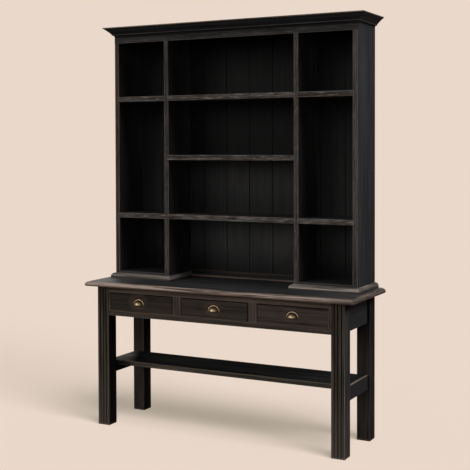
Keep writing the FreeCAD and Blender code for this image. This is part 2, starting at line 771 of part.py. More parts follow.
back_boards = [back_board(index) for index in range(BACK_BOARDS)]
keep(group("back_boards", back_boards))
back_sheet = block("back_room", (-back_half, back_half), (back_face, hutch_back), (floor_high, roof_low))


def fixing_screw(label, x, y):
    """A countersunk screw up through the table top into a panel of the hutch."""
    shank = doc.addObject("Part::Cylinder", f"{label}_shank")
    bind(shank, "Radius", S.screw_radius)
    bind(shank, "Height", S.top_thick + S.screw_bite)
    head = doc.addObject("Part::Cone", f"{label}_head")
    bind(head, "Radius1", S.screw_head)
    bind(head, "Radius2", S.screw_radius)
    bind(head, "Height", S.screw_head - S.screw_radius)
    for piece in (shank, head):
        bind(piece, "Placement.Base.x", x)
        bind(piece, "Placement.Base.y", y)
        bind(piece, "Placement.Base.z", top_under)
    return fused(label, [shank, head])


def upright(label, side, inner, outer, back, tools):
    """A side panel or a divider: an eased board, housed for what runs into it."""
    low_x, high_x = span(side, inner, outer)
    section = [
        (low_x, back), (low_x, hutch_front + S.shelf_ease, QUARTER_ROUND),
        (low_x + S.shelf_ease, hutch_front), (high_x - S.shelf_ease, hutch_front, QUARTER_ROUND),
        (high_x, hutch_front + S.shelf_ease), (high_x, back),
    ]
    board = extrusion(f"{label}_board", "XY", section, S.table_height, roof_low)
    return cut(label, board, tools)


def screw_pair(label, x):
    """The fixing screws near the front and the back of one panel."""
    return [fixing_screw(f"{label}_front", x, hutch_front + S.screw_inset),
            fixing_screw(f"{label}_back", x, hutch_back - S.screw_inset)]


screws = []
for hand, side in SIDES:
    panel_screws = screw_pair(f"panel_screw_{hand}", side * (hutch_outer - S.panel_thick / 2))
    divider_screws = screw_pair(f"divider_screw_{hand}", side * (divider_inner + S.panel_thick / 2))
    screws += panel_screws + divider_screws
    keep(upright(f"hutch_side_{hand}", side, hutch_inner, hutch_outer, hutch_back,
                 side_shelves[hand] + [frieze, back_rail, back_sheet] + panel_screws))
    keep(upright(f"divider_{hand}", side, divider_inner, divider_outer, back_face,
                 side_shelves[hand] + centre_shelves + [frieze, back_rail] + divider_screws))
keep(group("hutch_screws", screws))
keep(cut("table_top", table_top_blank, screws))


# ---------------------------------------------------------------- mouldings

bead_top = S.cornice_cove + S.cornice_bead
cornice_profile = [
    (0, 0, -COVE),
    (S.cornice_cove, S.cornice_cove, QUARTER_ROUND),
    (bead_top, bead_top, 0),
    (bead_top, bead_top + S.cornice_quirk, -SHALLOW_COVE),
    (S.cornice_out - S.cornice_lip, S.cornice_height - S.cornice_fillet, 0),
    (S.cornice_out, S.cornice_height - S.cornice_fillet, 0),
    (S.cornice_out, S.cornice_height, 0),
    (0, S.cornice_height, 0),
]
base_profile = [
    (0, 0, 0),
    (S.base_out, 0, 0),
    (S.base_out, S.base_square, QUARTER_ROUND),
    (S.base_step, S.base_height, 0),
    (0, S.base_height, 0),
]


def mitre_saw(label, corner, turn, beyond, out, z_span):
    """A wedge that saws a moulding off at 45 degrees through the corner of a panel.

    The cut runs forwards from the corner and to the side that turn gives.  beyond says
    which side of it is waste: "x" is the side further along X, "y" the one in front.
    """
    x, y = corner
    margin = out / 2
    reach = out * 2
    waste = (x + turn * reach, y + margin) if beyond == "x" else (x - turn * margin, y - reach)
    corners = [(x - turn * margin, y + margin), (x + turn * reach, y - reach), waste]
    return extrusion(label, "XY", corners, z_span[0] - margin, z_span[1] + margin)


def cornice():
    """The front run and two returns of the cornice, mitred at the corners."""
    out = S.cornice_out
    z_span = (cornice_low, hutch_high)
    front_saws = []
    for hand, side in SIDES:
        corner = (side * hutch_outer, hutch_front)
        front_saws.append(mitre_saw(f"cornice_front_saw_{hand}", corner, side, "x", out, z_span))
        profile = against_face(cornice_profile, side * hutch_outer, side, cornice_low)
        run = extrusion(f"cornice_{hand}_run", "XZ", profile, hutch_front - out, hutch_back)
        saw = mitre_saw(f"cornice_{hand}_saw", corner, side, "y", out, z_span)
        keep(cut(f"cornice_{hand}", run, [saw]))
    profile = against_face(cornice_profile, hutch_front, -1, cornice_low)
    run = extrusion("cornice_front_run", "YZ", profile, -hutch_outer - out, hutch_outer + out)
    keep(cut("cornice_front", run, front_saws))


def base_run(label, plane, face, way, low, high):
    """A straight length of base moulding against a panel's face."""
    profile = against_face(base_profile, face, way, S.table_height)
    return extrusion(label, plane, profile, low, high)


def base_moulding():
    """The moulding round both feet of the hutch and along its back rail, mitred."""
    out = S.base_out
    z_span = (S.table_height, S.table_height + S.base_height)
    back_saws = []
    for hand, side in SIDES:
        name = f"base_moulding_{hand}"
        outer_corner = (side * hutch_outer, hutch_front)
        inner_corner = (side * divider_inner, hutch_front)
        back_corner = (side * divider_inner, rail_face)
        front_ends = span(side, divider_inner - out, hutch_outer + out)
        front = base_run(f"{name}_front_run", "YZ", hutch_front, -1, *front_ends)
        outer = base_run(f"{name}_outer_run", "XZ", side * hutch_outer, side, hutch_front - out, hutch_back)
        inner = base_run(f"{name}_inner_run", "XZ", side * divider_inner, -side, hutch_front - out, rail_face)
        front_saws = [mitre_saw(f"{name}_front_saw_outer", outer_corner, side, "x", out, z_span),
                      mitre_saw(f"{name}_front_saw_inner", inner_corner, -side, "x", out, z_span)]
        outer_saw = mitre_saw(f"{name}_outer_saw", outer_corner, side, "y", out, z_span)
        inner_saws = [mitre_saw(f"{name}_inner_saw_front", inner_corner, -side, "y", out, z_span),
                      mitre_saw(f"{name}_inner_saw_back", back_corner, -side, "x", out, z_span)]
        keep(group(name, [cut(f"{name}_front", front, front_saws),
                          cut(f"{name}_outer", outer, [outer_saw]),
                          cut(f"{name}_inner", inner, inner_saws)]))
        back_saws.append(mitre_saw(f"{name}_back_saw", back_corner, -side, "y", out, z_span))
    back_run = base_run("base_moulding_back_run", "YZ", rail_face, -1, -divider_inner, divider_inner)
    keep(cut("base_moulding_back", back_run, back_saws))


cornice()
base_moulding()


# ---------------------------------------------------------------- checks and files

def check_document():
    """Stop if any object failed to build, or a sub-part has no sound shape."""
    for item in doc.Objects:
        if "Invalid" in item.State or "Error" in item.State:
            raise RuntimeError(f"{item.Label} did not build: {item.State}")
    for part in subparts:
        if part.Shape.isNull() or not part.Shape.isValid() or not part.Shape.Solids:
            raise RuntimeError(f"{part.Label} has no sound shape")


doc.recompute()
check_document()
os.makedirs("parts", exist_ok=True)
for part in subparts:
    part.Shape.exportStep(os.path.join("parts", f"{part.Label}.step"))
    print(f"{part.Label}: {len(part.Shape.Solids)} solid(s), {part.Shape.Volume / 1000:.1f} cm3")
print(f"{len(subparts)} sub-parts")
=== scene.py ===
"""The finish of a dresser with a hutch: worn black paint on pine, and aged brass pulls.

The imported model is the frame.  Its boards keep their shape and get their finish here, and the
pulls and their screws are modelled here in place of the plain ones.  Lengths are metres in the
frame of the model: the front faces -Y, and Z is up from the floor.
"""

import math

import bmesh
import bpy
from mathutils import Matrix, Vector


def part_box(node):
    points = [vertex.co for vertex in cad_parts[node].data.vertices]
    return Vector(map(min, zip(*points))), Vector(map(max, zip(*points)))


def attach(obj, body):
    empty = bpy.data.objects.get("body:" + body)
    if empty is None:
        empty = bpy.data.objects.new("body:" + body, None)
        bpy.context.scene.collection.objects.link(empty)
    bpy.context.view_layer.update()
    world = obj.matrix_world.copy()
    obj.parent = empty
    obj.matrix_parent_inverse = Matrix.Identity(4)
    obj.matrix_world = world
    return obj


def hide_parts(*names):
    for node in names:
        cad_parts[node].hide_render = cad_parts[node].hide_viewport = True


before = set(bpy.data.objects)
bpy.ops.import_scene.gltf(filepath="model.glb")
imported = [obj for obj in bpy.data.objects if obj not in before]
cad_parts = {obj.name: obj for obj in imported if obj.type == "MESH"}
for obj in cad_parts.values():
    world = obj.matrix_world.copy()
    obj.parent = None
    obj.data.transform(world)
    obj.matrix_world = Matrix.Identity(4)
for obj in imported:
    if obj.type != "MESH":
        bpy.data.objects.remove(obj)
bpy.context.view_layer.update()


# ---------------------------------------------------------------- places on the model

X, Y, Z = 0, 1, 2
TOP_NOSE = 0.7765
LEG_FRONT, LEG_OUTSIDE, LEG_INSIDE = -0.1975, 0.7280, 0.6550
FLUTE_MIDDLES = (0.67325, 0.69150, 0.70975)
APRON_FOOT = 0.615
HUTCH_FRONT, HUTCH_SIDE = -0.0195, 0.7260
CORNICE_FOOT = 2.150
BOARD_EDGE, BOARD_PITCH = -0.7095, 0.1419

DRAWER_FACE = -0.1945
PULLS = {"left": -0.46133, "middle": 0.0, "right": 0.44733}
PULL_FOOT = 0.6785
PLATE_HALF, PLATE_HIGH, PLATE_THICK = 0.0338, 0.0300, 0.0020
PLATE_ROUND, LIP_ROUND = 0.0009, 0.0005
CUP_HALF, CUP_HIGH, CUP_WALL = 0.0250, 0.0217, 0.0016
SCREW_OUT, SCREW_UP, SCREW_RADIUS = 0.0295, 0.0045, 0.0031
SHANK_RADIUS, SHANK_LENGTH = 0.0014, 0.0138


# ---------------------------------------------------------------- shader building

class Wire:
    """The output of a shader node, used in sums as a number is."""

    def __init__(self, shader, socket):
        self.shader = shader
        self.socket = socket

    def math(self, operation, *others):
        """One step of arithmetic with this value and the others."""
        return self.shader.node("ShaderNodeMath", {"operation": operation}, [self, *others])

    def __add__(self, other):
        return self.math("ADD", other)

    def __sub__(self, other):
        return self.math("SUBTRACT", other)

    def __rsub__(self, other):
        return self.shader.node("ShaderNodeMath", {"operation": "SUBTRACT"}, [other, self])

    def __mul__(self, other):
        return self.math("MULTIPLY", other)

    def __truediv__(self, other):
        return self.math("DIVIDE", other)

    def __abs__(self):
        return self.math("ABSOLUTE")

    __radd__ = __add__
    __rmul__ = __mul__


def lowest(values):
    """The least of some wires or numbers, the first of them a wire."""
    result = values[0]
    for value in values[1:]:
        result = result.math("MINIMUM", value)
    return result


def highest(values):
    """The greatest of some wires or numbers, the first of them a wire."""
    result = values[0]
    for value in values[1:]:
        result = result.math("MAXIMUM", value)
    return result


def length(across, up):
    """The length of a flat vector."""
    return (across * across + up * up).math("SQRT")


def ramp(value, start, end):
    """0 where the value is at start or before it, changing smoothly to 1 at end."""
    if start > end:
        return 1.0 - ramp(value, end, start)
    limits = {"Value": value, "From Min": start, "From Max": end}
    return value.shader.node("ShaderNodeMapRange", {"interpolation_type": "SMOOTHSTEP"}, limits)


def band(value, start, end, soft):
    """1 between start and end, and 0 beyond them."""
    return ramp(value, start - soft, start + soft) * ramp(value, end + soft, end - soft)


def near(value, middle, reach):
    """1 at the middle, falling to 0 at the reach."""
    return ramp(abs(value - middle), reach, 0.0)


def grained(grain, along, across):
    """Blotches per metre for a pattern that runs along the grain."""
    return [along if axis == grain else across for axis in range(3)]


class Shader:
    """A node tree under construction."""

    def __init__(self, tree):
        self.tree = tree
        tree.nodes.clear()

    def node(self, kind, settings, values, output=0):
        """Add a node: its settings first, then the values or wires of its sockets."""
        node = self.tree.nodes.new(kind)
        for name, value in settings.items():
            setattr(node, name, value)
        pairs = values.items() if isinstance(values, dict) else enumerate(values)
        for name, value in pairs:
            socket = node.inputs[name]
            if isinstance(value, Wire):
                self.tree.links.new(value.socket, socket)
            elif socket.type == "RGBA":
                socket.default_value = (*value, 1.0)
            else:
                socket.default_value = value
        return Wire(self, node.outputs[output]) if len(node.outputs) else None

    def colour(self, mask, without, with_it):
        """One colour where the mask is 0 and another where it is 1."""
        mixed = {0: mask, 6: without, 7: with_it}
        return self.node("ShaderNodeMix", {"data_type": "RGBA"}, mixed, 2)


class Finish(Shader):
    """A material under construction."""

    def __init__(self, name):
        self.material = bpy.data.materials.new(name)
        self.material.use_nodes = True
        super().__init__(self.material.node_tree)
        self.place = self.node("ShaderNodeTexCoord", {}, {}, "Object")
        split = self.node("ShaderNodeSeparateXYZ", {}, [self.place])
        self.x, self.y, self.z = (Wire(self, part) for part in split.socket.node.outputs)

    def noise(self, stretch, shift, detail, roughness=0.55):
        """Soft noise, its number of blotches per metre given along each axis."""
        values = {"Vector": self.place, "Location": shift, "Scale": stretch}
        moved = self.node("ShaderNodeMapping", {}, values)
        values = {"Vector": moved, "Scale": 1.0, "Detail": detail, "Roughness": roughness}
        return self.node("ShaderNodeTexNoise", {}, values, "Fac")

    def surface(self, colour, roughness, height, depth, **fixed):
        """End the material in a Principled shader, bumped by a height in depth metres."""
        bump = {"Height": height, "Distance": depth, "Strength": 1.0}
        normal = self.node("ShaderNodeBump", {}, bump)
        values = {"Base Color": colour, "Roughness": roughness, **fixed, "Normal": normal}
        shader = self.node("ShaderNodeBsdfPrincipled", {}, values)
        self.node("ShaderNodeOutputMaterial", {}, {"Surface": shader})
        return self.material


# ---------------------------------------------------------------- camera, floor and light

CAMERA_PLACE = (2.51622, -4.78928, 1.52875)
CAMERA_YAW, CAMERA_PITCH, CAMERA_ROLL = 0.479495, 0.027417, -0.002781
LENS_PIXELS, SHIFT_PIXELS, PICTURE_PIXELS = 1012.87, -60.0, 470.0
SENSOR = 36.0

PALE = (0.8228, 0.6867, 0.5906)
SKY = (0.07, 0.07, 0.07)
BLACK = (0.0, 0.0, 0.0)
# how much of the floor's colour a shadow can take away, and how much the floor gives back
SHADOW_SHARE = (0.525, 0.503, 0.541)
FLOOR_BOUNCE = 0.10
FLOOR_HALF = 60.0
# name, degrees from the front towards the right, degrees up, strength, colour, softness in degrees
FLOOR_LAMPS = (
    ("high floor lamp", 55.0, 56.0, 2.4, (1.00, 1.00, 1.00), 36.0),
    ("low floor lamp", 73.0, 29.0, 1.6, (1.00, 1.00, 1.00), 25.0),
)
LAMPS = (
    ("side lamp", 88.0, 42.0, 2.1, (0.97, 1.00, 1.04), 30.0),
    ("front lamp", -35.0, 16.0, 1.75, (1.03, 1.00, 0.96), 35.0),
    ("fill lamp", 5.0, 8.0, 1.00, (1.02, 1.00, 0.97), 60.0),
    ("back lamp", 205.0, 25.0, 1.6, (1.00, 1.00, 1.00), 35.0),
)


def add_camera():
    """The camera, turned by its yaw, pitch and roll."""
    data = bpy.data.cameras.new("camera")
    data.sensor_width = SENSOR
    data.lens = LENS_PIXELS * SENSOR / PICTURE_PIXELS
    data.shift_y = SHIFT_PIXELS / PICTURE_PIXELS
    data.clip_end = 100.0
    yaw, pitch, roll = CAMERA_YAW, CAMERA_PITCH, CAMERA_ROLL
    level = Vector((-math.sin(yaw), math.cos(yaw), 0.0))
    side = Vector((math.cos(yaw), math.sin(yaw), 0.0))
    ahead = level * math.cos(pitch) - Vector((0.0, 0.0, math.sin(pitch)))
    above = Vector((0.0, 0.0, math.cos(pitch))) + level * math.sin(pitch)
    right = side * math.cos(roll) + above * math.sin(roll)
    up = above * math.cos(roll) - side * math.sin(roll)
    turn = Matrix((right, up, -ahead)).transposed().to_4x4()
    camera = bpy.data.objects.new("camera", data)
    camera.matrix_world = Matrix.Translation(CAMERA_PLACE) @ turn
    bpy.context.scene.collection.objects.link(camera)
    bpy.context.scene.camera = camera


def seen_or_mirrored(shader):
    """1 for what is seen straight or in something glossy, and 0 for light that bounces."""
    seen = shader.node("ShaderNodeLightPath", {}, {}, "Is Camera Ray")
    rays = seen.socket.node.outputs
    mirrored = [Wire(shader, rays[f"Is {kind} Ray"]) for kind in ("Glossy", "Transmission")]
    return highest([seen, *mirrored])


def add_floor():
    """A pale floor: part of its colour glows, and the rest is lit, so that it takes a shadow."""
    mesh = bpy.data.meshes.new("floor")
    shape = bmesh.new()
    bmesh.ops.create_grid(shape, x_segments=1, y_segments=1, size=FLOOR_HALF)
    shape.to_mesh(mesh)
    shape.free()
    floor = bpy.data.objects.new("floor", mesh)
    bpy.context.scene.collection.objects.link(floor)
    light = list(SKY)
    for _, _, rise, strength, colour, _ in FLOOR_LAMPS:
        arriving = strength * math.sin(math.radians(rise)) / math.pi
        light = [part + arriving * c for part, c in zip(light, colour)]
    finish = Finish("pale_floor")
    seen = seen_or_mirrored(finish)
    shaded = tuple(share * p / part for share, p, part in zip(SHADOW_SHARE, PALE, light))
    bounced = tuple(FLOOR_BOUNCE * p for p in PALE)
    lit = finish.node("ShaderNodeBsdfDiffuse", {}, [finish.colour(seen, bounced, shaded)])
    glow = tuple((1.0 - share) * p for share, p in zip(SHADOW_SHARE, PALE))
    glowing = finish.node("ShaderNodeEmission", {}, [finish.colour(seen, BLACK, glow)])
    both = finish.node("ShaderNodeAddShader", {}, [lit, glowing])
    finish.node("ShaderNodeOutputMaterial", {}, {"Surface": both})
    mesh.materials.append(finish.material)
    return floor


def add_world():
    """A pale background that gives only a little light."""
    world = bpy.data.worlds.new("studio")
    world.use_nodes = True
    shader = Shader(world.node_tree)
    colour = shader.colour(seen_or_mirrored(shader), SKY, PALE)
    sky = shader.node("ShaderNodeBackground", {}, {"Color": colour})
    shader.node("ShaderNodeOutputWorld", {}, {"Surface": sky})
    bpy.context.scene.world = world


def add_lamp(name, turn, rise, strength, colour, softness, floor, state):
    """A distant soft lamp that lights only the floor, or all but the floor."""
    data = bpy.data.lights.new(name, "SUN")
    data.energy = strength
    data.color = colour
    data.angle = math.radians(softness)
    lamp = bpy.data.objects.new(name, data)
    a, e = math.radians(turn), math.radians(rise)
    towards = Vector((math.sin(a) * math.cos(e), -math.cos(a) * math.cos(e), math.sin(e)))
    lamp.rotation_euler = towards.to_track_quat("Z", "Y").to_euler()
    bpy.context.scene.collection.objects.link(lamp)
    reach = bpy.data.collections.new(f"reach of the {name}")
    reach.objects.link(floor)
    reach.collection_objects[0].light_linking.link_state = state
    lamp.light_linking.receiver_collection = reach
    return lamp


def shine_through_hutch(lamp):
    """Let no board of the hutch hold back the light of a lamp."""
    hutch = bpy.data.collections.new(f"hutch under the {lamp.name}")
    for name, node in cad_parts.items():
        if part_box(name)[0].z > TOP_NOSE:
            hutch.objects.link(node)
    for entry in hutch.collection_objects:
        entry.light_linking.link_state = "EXCLUDE"
    lamp.light_linking.blocker_collection = hutch


add_camera()
floor = add_floor()
add_world()
high_floor_lamp, _ = [add_lamp(*lamp, floor, "INCLUDE") for lamp in FLOOR_LAMPS]
shine_through_hutch(high_floor_lamp)
for lamp in LAMPS:
    add_lamp(*lamp, floor, "EXCLUDE")
bpy.context.scene.view_settings.view_transform = "Standard"


# ---------------------------------------------------------------- painted pine

# the wood that shows where paint is rubbed through, between its hairs and along them
WOOD = ((0.135, 0.088, 0.060), (0.200, 0.172, 0.148))
REDDISH_WOOD = ((0.085, 0.050, 0.034), (0.110, 0.085, 0.066))
# paint inside the bays where it is full and where it is thin: deeper black, partly the interior's
# own black and partly painted shade, and paler towards the backs of the bays as painted light
INSIDE = ((0.0130, 0.0130, 0.0135), (0.0240, 0.0235, 0.0235))
INSIDE_PAINTED_LIGHT = ((0.0330, 0.0330, 0.0340), (0.0580, 0.0570, 0.0570))


class Paint(Finish):
    """Black paint on a pine board.  Wear is laid over it, and then it is closed."""

    def __init__(self, node, grain, seed, full, thin, kind="worn"):
        super().__init__(f"{kind}_{node}")
        self.low, self.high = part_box(node)
        self.grain, self.seed = grain, seed
        shift = (seed * 3.71, seed * 1.93, seed * 2.57)
        self.streaks = self.noise(grained(grain, 2.2, 90.0), shift, 4.0)
        self.hairs = self.noise(grained(grain, 9.0, 620.0), shift, 2.0)
        self.clouds = self.noise(grained(grain, 2.5, 9.0), shift, 2.0)
        blend = self.streaks * 0.55 + self.clouds * 0.30 + self.hairs * 0.15
        self.tone = ramp(blend, 0.38, 0.62)
        self.skin = self.between(full, thin)
        self.height = self.streaks * 0.5 + self.hairs * 0.5

    def between(self, full, thin):
        """One colour where the paint is full and another where it is thin."""
        return self.colour(self.tone, full, thin)

    def lay(self, mask, colour):
        """Lay a colour over the paint where the mask is 1."""
        self.skin = self.colour(mask, self.skin, colour)

    def rub(self, distance, reach, strength, wood=WOOD):
        """Rub the paint through to the wood as far as reach from an arris."""
        ragged = distance + (self.streaks + self.clouds - 1.0) * reach * 1.8
        rubbed = ramp(ragged, reach, reach * 0.15) * strength
        self.lay(rubbed, self.colour(ramp(self.hairs, 0.35, 0.65), *wood))
        self.height = self.height - rubbed * 0.4

    def off_arris(self):
        """How far a point lies from the nearest of the twelve arrises of the board's box."""
        places = zip((self.x, self.y, self.z), self.low, self.high)
        off = [abs(place - (low + high) / 2) - (high - low) / 2 for place, low, high in places]
        x, y, z = (part * part for part in off)
        return lowest([x + y, y + z, x + z]).math("SQRT")

    def rub_arrises(self, reach, strength, wood=WOOD):
        """Rub all the arrises of the board."""
        self.rub(self.off_arris(), reach, strength, wood)

    def scuff(self, amount, light):
        """Short scuffs along the grain: bare and light in places, dark in others."""
        shift = (self.seed * 1.1, self.seed * 2.9, self.seed * 0.7)
        scuffs = self.noise(grained(self.grain, 16.0, 165.0), shift, 4.0, 0.70)
        self.lay(ramp(scuffs, 0.47, 0.36) * amount, (0.0080, 0.0075, 0.0075))
        self.lay(ramp(scuffs, 0.54, 0.64) * amount, light)

    def close(self, gloss=0.02):
        """End the material."""
        fixed = {"Specular IOR Level": gloss}
        return self.surface(self.skin, 0.68 + self.tone * 0.14, self.height, 0.0005, **fixed)


def dress(node, make, *choices):
    """Give a board of the model the finish that a maker makes for it."""
    material = make(node, *choices)
    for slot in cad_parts[node].material_slots:
        slot.material = material


def thin_paint(node, seed, full, thin, reach, worn):
    """Thin dark paint, its arrises rubbed, on a board that is seen only from above or behind."""
    paint = Paint(node, X, seed, full, thin, "thin")
    paint.rub_arrises(reach, worn)
    return paint.close()


# ---------------------------------------------------------------- the table

DRAWER_BLACK = (0.0125, 0.0112, 0.0100)


def table_top(node, seed):
    """Bluish black, lighter at both ends and more at its left end as painted reflection, its
    moulded edge worn to a pinkish grey along the grain.
    """
    paint = Paint(node, X, seed, (0.0102, 0.0112, 0.0126), (0.0262, 0.0280, 0.0300))
    # painted reflection: both ends of the top, and its left end more, are laid lighter
    ends_reflection = ramp(abs(paint.x), 0.42, 0.70)
    paint.lay(ends_reflection * 0.75, paint.between((0.027, 0.026, 0.026), (0.072, 0.067, 0.064)))
    left_end_light = ramp(paint.x, -0.48, -0.66)
    paint.lay(left_end_light * 0.60, paint.between((0.042, 0.041, 0.042), (0.120, 0.115, 0.114)))

    from_side, from_front = paint.high.x - abs(paint.x), paint.y - paint.low.y
    from_edge = lowest([from_side, from_front])
    across_grain = paint.noise(grained(Y, 4.0, 130.0), (seed, 2.0, 5.0), 3.0)
    along_grain = paint.noise(grained(X, 3.5, 120.0), (seed * 2.0, 7.0, 1.0), 4.0)
    on_end = ramp(from_side - from_front, 0.002, -0.002)
    wear = along_grain + on_end * (across_grain - along_grain)
    wear = wear - ramp(paint.x, 0.25, 0.45) * 0.02 + ramp(paint.x, -0.30, -0.55) * 0.055
    bare = ramp(wear, 0.39, 0.57)
    edge = ramp(from_edge + (paint.streaks - 0.5) * 0.010, 0.024, 0.016)
    paint.lay(edge, paint.colour(bare, (0.050, 0.036, 0.030), (0.290, 0.226, 0.192)))
    paint.lay(near(from_edge, 0.0215, 0.0025) * 0.55, (0.012, 0.011, 0.011))
    paint.lay(edge * ramp(paint.x, 0.52, 0.76) * 0.50, (0.030, 0.0235, 0.0210))
    under = ramp(paint.z, TOP_NOSE + 0.001, TOP_NOSE - 0.002)
    paint.lay(under, paint.colour(bare, (0.040, 0.028, 0.022), (0.116, 0.080, 0.064)))
    paint.height = paint.height - edge * bare * 0.3
    return paint.close(0.07)


def front_frame(node, seed, grain, full, thin):
    """Brownish black: a rail, its arrises a little rubbed, or the stiles between the drawers."""
    paint = Paint(node, grain, seed, full, thin)
    if grain == X:
        paint.rub_arrises(0.0035, 0.45)
    return paint.close()


def drawer_front(node, seed, pull_x, dirt, thin):
    """Brownish black, with painted shade along its gaps and a painted shadow round its pull's
    plate, and brown with handling round its pull.
    """
    paint = Paint(node, X, seed, DRAWER_BLACK, thin)
    from_foot, from_top = paint.z - paint.low.z, paint.high.z - paint.z
    from_left, from_right = paint.x - paint.low.x, paint.high.x - paint.x
    paint.rub(from_foot, 0.0045, 0.55, ((0.105, 0.072, 0.050), (0.130, 0.098, 0.072)))
    if node == "drawer_right_front":
        paint.rub(from_right, 0.0050, 0.85, ((0.125, 0.085, 0.055), (0.160, 0.122, 0.086)))
    else:
        # painted shade along the gap at the right
        paint.lay(ramp(from_right, 0.0045, 0.0020), (0.0040, 0.0036, 0.0034))
    # painted shade along the gaps at the top and left
    gap = ramp(lowest([from_top, from_left + 0.0015]), 0.0045, 0.0020)
    paint.lay(gap, (0.0045, 0.0040, 0.0038))

    grip_x, grip_z, grip_wider = pull_x - 0.008, 0.690, 1.25
    off_grip = length((paint.x - grip_x) / grip_wider, paint.z - grip_z)
    off_grip = off_grip + (paint.clouds - 0.5) * 0.05 + (paint.streaks - 0.5) * 0.03
    handled = ramp(off_grip, 0.052, 0.030) * dirt
    paint.lay(handled, paint.between((0.036, 0.024, 0.016), (0.080, 0.056, 0.040)))
    up = (paint.z - PULL_FOOT) / PLATE_HIGH
    off_plate = length((paint.x - pull_x) / PLATE_HALF, up) + (paint.clouds - 0.5) * 0.10
    # painted shadow: a dark ring round the outside of the plate
    plate_shadow = ramp(off_plate, 1.22, 1.08) * ramp(up, -0.15, 0.05)
    paint.lay(plate_shadow * 0.85, (0.0075, 0.0045, 0.0035))
    return paint.close(0.03)


def outer_side(paint):
    """1 on the outer side of a leg."""
    return ramp(abs(paint.x), LEG_OUTSIDE - 0.0018, LEG_OUTSIDE - 0.0002)


def inner_side(paint):
    """1 on the inner side of a leg."""
    return ramp(abs(paint.x), LEG_INSIDE + 0.0010, LEG_INSIDE + 0.0003)


def front_leg(node, seed):
    """Streaked brown and grey down the grain, lighter towards the foot, with painted shade in its
    flutes and painted highlights beside them, and painted shade on its sides and high up under the
    table top.
    """
    paint = Paint(node, Z, seed, (0.0215, 0.0187, 0.0160), (0.087, 0.0705, 0.0580))
    tan = ramp(paint.noise(grained(Z, 1.5, 55.0), (seed * 1.3, 4.0, 2.0), 3.0), 0.54, 0.66)
    paint.lay(tan * 0.45, paint.between((0.050, 0.034, 0.022), (0.105, 0.076, 0.054)))
    # painted shade: the outer side is laid darker than the front
    outer = paint.between((0.0160, 0.0145, 0.0145), (0.060, 0.0510, 0.0500))
    paint.lay(outer_side(paint), outer)
    off_flute = lowest([abs(abs(paint.x) - middle) for middle in FLUTE_MIDDLES])
    on_face = ramp(paint.y, LEG_FRONT + 0.006, LEG_FRONT + 0.004)
    # painted highlight: light lines beside the flutes
    paint.lay(near(off_flute, 0.0050, 0.0020) * on_face * 0.35, (0.120, 0.088, 0.062))
    # painted shade in the flutes
    paint.lay(ramp(off_flute, 0.0042, 0.0026) * on_face * 0.9, (0.0075, 0.0063, 0.0057))
    paint.rub_arrises(0.0030, 0.70, ((0.150, 0.115, 0.088), (0.215, 0.188, 0.160)))
    # painted shade: the front face darkens upwards, under the table top
    face_and_arris = ramp(paint.y, LEG_FRONT + 0.009, LEG_FRONT + 0.007)
    paint.lay(ramp(paint.z, 0.25, 0.74) * face_and_arris * 0.42, (0.0045, 0.0038, 0.0033))
    paint.lay(ramp(paint.z, 0.42, 0.02) * 0.25, (0.104, 0.086, 0.072))
    # painted shade: the inner side, under the table, is laid near black
    inner = paint.between((0.0062, 0.0058, 0.0055), (0.0210, 0.0180, 0.0160))
    paint.lay(inner_side(paint), inner)
    paint.rub(paint.z, 0.012, 0.40)
    return paint.close(0.0)


def back_leg(node, seed, upper_shade):
    """Deeper black-brown, with a reddish-brown rub on its arrises and round its foot, painted
    shade high up and on its inner side, and a painted shadow beside the apron.
    """
    paint = Paint(node, Z, seed, (0.0128, 0.0110, 0.0099), (0.033, 0.0272, 0.0238))
    outer = paint.between((0.0100, 0.0090, 0.0085), (0.034, 0.0300, 0.0280))
    paint.lay(outer_side(paint), outer)
    # painted shade: the upper leg is laid darker, under the table top
    paint.lay(ramp(paint.z, 0.28, 0.48) * upper_shade, (0.0045, 0.0038, 0.0032))
    on_face = ramp(paint.y, paint.low.y + 0.0040, paint.low.y + 0.0020)
    # painted shadow on the front face beside the recessed apron
    apron_shadow = on_face * ramp(paint.z, APRON_FOOT - 0.015, APRON_FOOT + 0.015)
    paint.lay(apron_shadow * 0.90, (0.0045, 0.0048, 0.0075))
    paint.rub_arrises(0.0030, 0.60, REDDISH_WOOD)
    # painted shade: the inner side, under the table, is laid near black
    inner = paint.between((0.0042, 0.0038, 0.0035), (0.0150, 0.0125, 0.0110))
    paint.lay(inner_side(paint) * 0.9, inner)
    paint.rub(paint.z, 0.012, 0.40, REDDISH_WOOD)
    return paint.close(0.0)


def side_rail(node, seed):
    """Cool black, with a light line rubbed along its long arrises."""
    paint = Paint(node, Y, seed, (0.0140, 0.0137, 0.0150), (0.0275, 0.0268, 0.0290))
    from_edge = lowest([paint.high.z - paint.z, (paint.z - paint.low.z) + 0.0015])
    paint.rub(from_edge, 0.0016, 0.80, ((0.150, 0.108, 0.078), (0.200, 0.165, 0.134)))
    return paint.close()


def lower_shelf(node, seed):
    """Deep black above, greyer at its left end as painted light, with a brown-grey front edge that
    is laid darker towards its left end as painted shadow.
    """
    paint = Paint(node, X, seed, (0.0085, 0.0085, 0.0088), (0.0200, 0.0190, 0.0184))
    # painted light: a pool of light on the left end, cut off diagonally by the back leg's shadow
    left_end_light = ramp(paint.x + paint.y * 0.52, -0.585, -0.660)
    paint.lay(left_end_light, paint.between((0.085, 0.084, 0.077), (0.205, 0.203, 0.186)))
    front = ramp(paint.y, paint.low.y + 0.0035, paint.low.y + 0.0015)
    paint.lay(front, paint.between((0.026, 0.0220, 0.0180), (0.072, 0.0600, 0.0490)))
    # painted shadow on the front edge towards its left end
    left_edge_shadow = front * ramp(paint.x, -0.555, -0.590)
    paint.lay(left_edge_shadow, paint.between((0.0130, 0.0115, 0.0105), (0.030, 0.0265, 0.0240)))
    paint.rub_arrises(0.0030, 0.50)
    return paint.close(0.0)


# ---------------------------------------------------------------- the hutch

